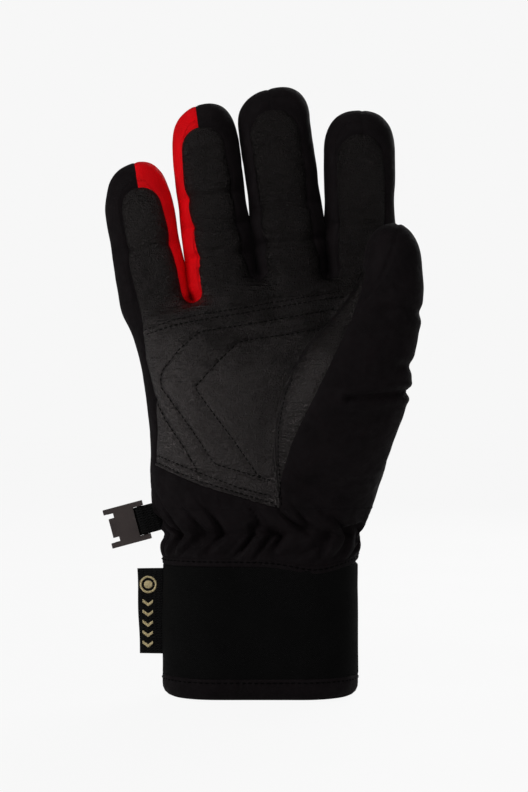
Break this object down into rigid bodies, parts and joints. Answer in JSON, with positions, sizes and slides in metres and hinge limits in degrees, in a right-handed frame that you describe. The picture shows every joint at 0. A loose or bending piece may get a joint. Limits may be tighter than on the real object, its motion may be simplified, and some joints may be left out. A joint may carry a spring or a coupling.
{
  "type": "ski glove",
  "caption": "Right-hand insulated ski glove with a leather palm, boxed fingers with red side strips, a gathered wrist, a neoprene cuff and a pairing clip on a webbing loop.",
  "frame": {"origin": "centre of the hand opening, at the bottom of the cuff's hem, where the glove stands", "axes": "+Z from the cuff towards the fingertips, -Y the way the palm faces, +X towards the thumb"},
  "size_m": [0.1428, 0.0857, 0.2705],
  "materials": {
    "palm_leather": "soft satin with fine grain",
    "shell_fabric": "matte softshell weave",
    "red_fabric": "matte softshell weave",
    "cuff_neoprene": "matte knit face on foam",
    "lining_fleece": "short brushed pile",
    "insulation": "fibre wadding",
    "webbing": "ribbed woven tape",
    "label": "woven label",
    "hook_loop": "hook-and-loop tape",
    "clip_plastic": "fine-textured moulded plastic"
  },
  "bodies": {
    "cuff": {"cuff_band": "cuff_neoprene", "cuff_hem_binding": "shell_fabric", "cuff_top_tape": "shell_fabric", "cuff_lining": "lining_fleece", "side_label_tab": "label", "closure_loop_patch": "hook_loop", "wrist_gather_sleeve": "shell_fabric", "wrist_elastic": "shell_fabric"},
    "flap": {"closure_flap": "shell_fabric", "closure_hook_patch": "hook_loop"},
    "hand": {"palm_upper_leather": "palm_leather", "palm_patch": "palm_leather", "palm_patch_binding": "palm_leather", "heel_panel": "shell_fabric", "back_panel": "shell_fabric", "hand_insulation": "insulation", "hand_lining": "lining_fleece", "thumb_root_leather": "palm_leather", "thumb_root_fabric": "shell_fabric", "thumb_root_liner": "insulation"},
    "strap": {"clip_webbing": "webbing"},
    "clip": {"pairing_clip": "clip_plastic"},
    "index_base": {"index_base_face": "palm_leather", "index_base_gusset": "shell_fabric", "index_base_back": "shell_fabric", "index_base_liner": "insulation"},
    "index_tip": {"index_tip_face": "palm_leather", "index_tip_gusset": "shell_fabric", "index_tip_back": "shell_fabric", "index_tip_liner": "insulation"},
    "middle_base": {"middle_base_face": "palm_leather", "middle_base_gusset": "shell_fabric", "middle_base_back": "shell_fabric", "middle_base_liner": "insulation"},
    "middle_tip": {"middle_tip_face": "palm_leather", "middle_tip_gusset": "shell_fabric", "middle_tip_back": "shell_fabric", "middle_tip_liner": "insulation"},
    "ring_base": {"ring_base_face": "palm_leather", "ring_base_gusset": "red_fabric", "ring_base_back": "shell_fabric", "ring_base_liner": "insulation"},
    "ring_tip": {"ring_tip_face": "palm_leather", "ring_tip_gusset": "red_fabric", "ring_tip_back": "shell_fabric", "ring_tip_liner": "insulation"},
    "little_base": {"little_base_face": "palm_leather", "little_base_gusset": "red_fabric", "little_base_back": "shell_fabric", "little_base_liner": "insulation"},
    "little_tip": {"little_tip_face": "palm_leather", "little_tip_gusset": "red_fabric", "little_tip_back": "shell_fabric", "little_tip_liner": "insulation"},
    "thumb_base": {"thumb_base_leather": "palm_leather", "thumb_base_fabric": "shell_fabric", "thumb_base_liner": "insulation"},
    "thumb_tip": {"thumb_tip_leather": "palm_leather", "thumb_tip_fabric": "shell_fabric", "thumb_tip_liner": "insulation"}
  },
  "joints": [
    {"name": "wrist_flex", "type": "hinge", "parent": "cuff", "child": "hand", "pos_m": [0, 0, 0.073], "axis": [1, 0, 0], "range_deg": [-25, 30], "deforming": ["wrist_gather_sleeve"]},
    {"name": "closure_open", "type": "hinge", "parent": "cuff", "child": "flap", "pos_m": [-0.022, 0.0279, 0.033], "axis": [0, 0, 1], "range_deg": [0, 115]},
    {"name": "strap_swing", "type": "hinge", "parent": "hand", "child": "strap", "pos_m": [-0.0472, 0, 0.079], "axis": [-0.2588, 0, 0.9659], "range_deg": [-60, 60]},
    {"name": "clip_swivel", "type": "hinge", "parent": "strap", "child": "clip", "pos_m": [-0.05203, 0, 0.07771], "axis": [-0.2588, 0, 0.9659], "range_deg": [-45, 45]},
    {"name": "index_knuckle", "type": "hinge", "parent": "hand", "child": "index_base", "pos_m": [0.0462, -0.008, 0.189], "axis": [0.9999, 0, 0.0105], "range_deg": [0, 50]},
    {"name": "index_middle_joint", "type": "hinge", "parent": "index_base", "child": "index_tip", "pos_m": [0.04587, -0.007, 0.22], "axis": [0.9999, 0, 0.0105], "range_deg": [0, 60]},
    {"name": "middle_knuckle", "type": "hinge", "parent": "hand", "child": "middle_base", "pos_m": [0.0153, -0.008, 0.189], "axis": [0.9917, 0, 0.1288], "range_deg": [0, 50]},
    {"name": "middle_middle_joint", "type": "hinge", "parent": "middle_base", "child": "middle_tip", "pos_m": [0.01066, -0.007, 0.2247], "axis": [0.9917, 0, 0.1288], "range_deg": [0, 60]},
    {"name": "ring_knuckle", "type": "hinge", "parent": "hand", "child": "ring_base", "pos_m": [-0.0163, -0.008, 0.185], "axis": [0.9919, 0, 0.1271], "range_deg": [0, 50]},
    {"name": "ring_middle_joint", "type": "hinge", "parent": "ring_base", "child": "ring_tip", "pos_m": [-0.02062, -0.007, 0.21872], "axis": [0.9919, 0, 0.1271], "range_deg": [0, 60]},
    {"name": "little_knuckle", "type": "hinge", "parent": "hand", "child": "little_base", "pos_m": [-0.046, -0.008, 0.177], "axis": [0.9851, 0, 0.1719], "range_deg": [0, 50]},
    {"name": "little_middle_joint", "type": "hinge", "parent": "little_base", "child": "little_tip", "pos_m": [-0.05047, -0.007, 0.20261], "axis": [0.9851, 0, 0.1719], "range_deg": [0, 60]},
    {"name": "thumb_swing", "type": "hinge", "parent": "hand", "child": "thumb_base", "pos_m": [0.052, -0.038, 0.143], "axis": [0, 1, 0], "range_deg": [-10, 35]},
    {"name": "thumb_tip_flex", "type": "hinge", "parent": "thumb_base", "child": "thumb_tip", "pos_m": [0.046, -0.039, 0.174], "axis": [0, -1, 0], "range_deg": [0, 40]}
  ]
}
